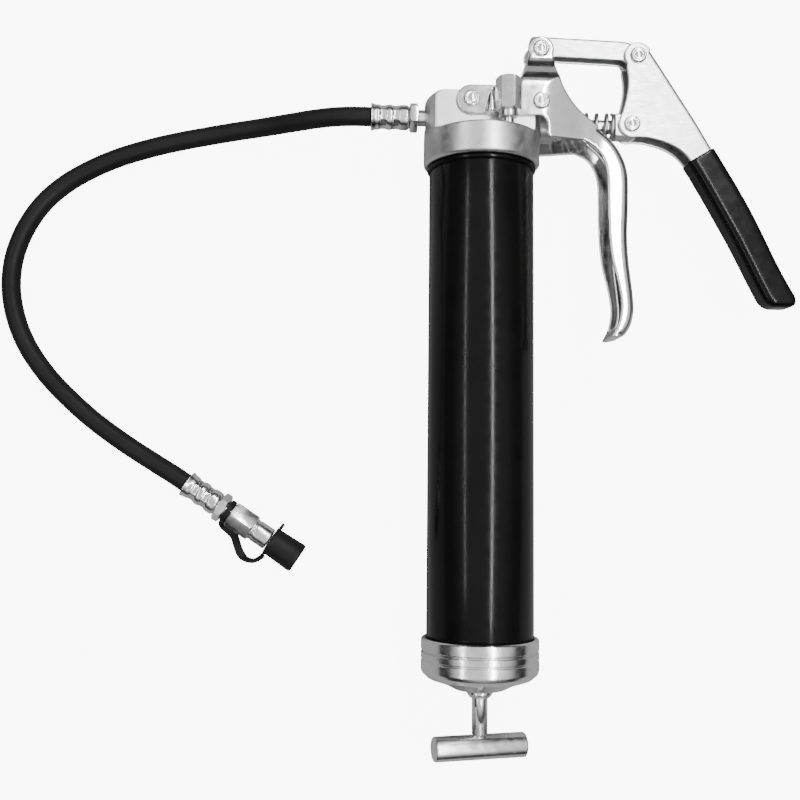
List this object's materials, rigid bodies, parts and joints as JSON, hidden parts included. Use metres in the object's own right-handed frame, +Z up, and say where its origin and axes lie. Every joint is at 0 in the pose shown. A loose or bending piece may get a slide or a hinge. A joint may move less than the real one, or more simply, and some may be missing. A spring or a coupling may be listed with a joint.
{
  "type": "grease gun",
  "caption": "Lever-action pistol-grip grease gun with a cartridge barrel, follower rod and T-handle, and a whip hose ending in a capped coupler.",
  "frame": {"origin": "middle of the gun's box, without the hose, on the bench that the gun lies on", "axes": "+Z up from the bench, +Y along the barrel toward the head, +X across the barrel toward the squeeze lever"},
  "size_m": [0.4363, 0.3902, 0.0636],
  "materials": {
    "cast_metal": "satin die-cast",
    "polished_metal": "polished",
    "satin_steel": "satin plated",
    "zinc_plate": "bright zinc plate",
    "spring_steel": "bright wire",
    "black_paint": "gloss",
    "rubber": "matte",
    "black_vinyl": "semi-gloss dipped vinyl"
  },
  "bodies": {
    "gun": {"head_casting": "cast_metal", "barrel_tube": "black_paint", "barrel_gasket": "rubber", "end_cap": "zinc_plate", "rod_bush": "zinc_plate", "follower_spring": "spring_steel", "fixed_handle": "polished_metal", "link_front_pin": "zinc_plate", "handle_rear_rivet": "zinc_plate", "handle_front_rivet": "zinc_plate", "plunger_spring": "spring_steel", "packing_seal": "rubber", "packing_nut": "satin_steel", "spring_washer": "satin_steel", "bleed_valve": "zinc_plate", "check_spring": "spring_steel", "inlet_ferrule": "zinc_plate", "inlet_fitting": "zinc_plate", "coupler_ferrule": "zinc_plate", "coupler_fitting": "zinc_plate", "coupler_body": "zinc_plate", "coupler_jaws": "satin_steel", "coupler_seal": "rubber", "coupler_spring": "spring_steel", "dust_cap_strap": "rubber", "hose": "rubber"},
    "link_bar": {"link": "satin_steel"},
    "squeeze_lever": {"lever": "satin_steel", "lever_grip": "black_vinyl", "link_rear_pin": "zinc_plate", "plunger_pin": "zinc_plate"},
    "plunger_bar": {"plunger": "satin_steel"},
    "follower": {"follower_cup": "rubber", "follower_plate": "satin_steel", "follower_nut": "satin_steel"},
    "rod_and_handle": {"follower_rod": "zinc_plate", "t_handle": "zinc_plate"},
    "valve_ball": {"check_ball": "satin_steel"},
    "cap_on_coupler": {"dust_cap": "rubber"}
  },
  "joints": [
    {"name": "link_swing", "type": "hinge", "parent": "gun", "child": "link_bar", "pos_m": [-0.0379, 0.18781, 0.0318], "axis": [0, 0, -1], "range_deg": [0, 4.7]},
    {"name": "lever_squeeze", "type": "hinge", "parent": "link_bar", "child": "squeeze_lever", "pos_m": [0.0166, 0.18641, 0.0318], "axis": [0, 0, -1], "range_deg": [0, 19.4], "stiffness_Nm_per_rad": 0.8, "springref_deg": -45.84},
    {"name": "plunger_slide", "type": "slide", "parent": "gun", "child": "plunger_bar", "axis": [-1, 0, 0], "range_m": [0, 0.0162], "deforming": ["plunger_spring"]},
    {"name": "follower_slide", "type": "slide", "parent": "gun", "child": "follower", "axis": [0, -1, 0], "range_m": [0, 0.19], "stiffness_N_per_m": 60, "springref_m": -0.3, "deforming": ["follower_spring"]},
    {"name": "rod_turn", "type": "hinge", "parent": "follower", "child": "rod_and_handle", "pos_m": [-0.0697, -0.18859, 0.0318], "axis": [0, 1, 0], "continuous": true},
    {"name": "ball_lift", "type": "slide", "parent": "gun", "child": "valve_ball", "axis": [-1, 0, 0], "range_m": [0, 0.002], "stiffness_N_per_m": 150, "springref_m": -0.004, "deforming": ["check_spring"]},
    {"name": "dust_cap_pull", "type": "slide", "parent": "gun", "child": "cap_on_coupler", "axis": [0.8339, -0.5519, 0], "range_m": [0, 0.018], "deforming": ["dust_cap_strap"]}
  ],
  "couplings": [
    {"joint": "link_swing", "follows": "lever_squeeze", "ratio": 0.24},
    {"joint": "plunger_slide", "follows": "lever_squeeze", "m_per_rad": 0.0474}
  ]
}
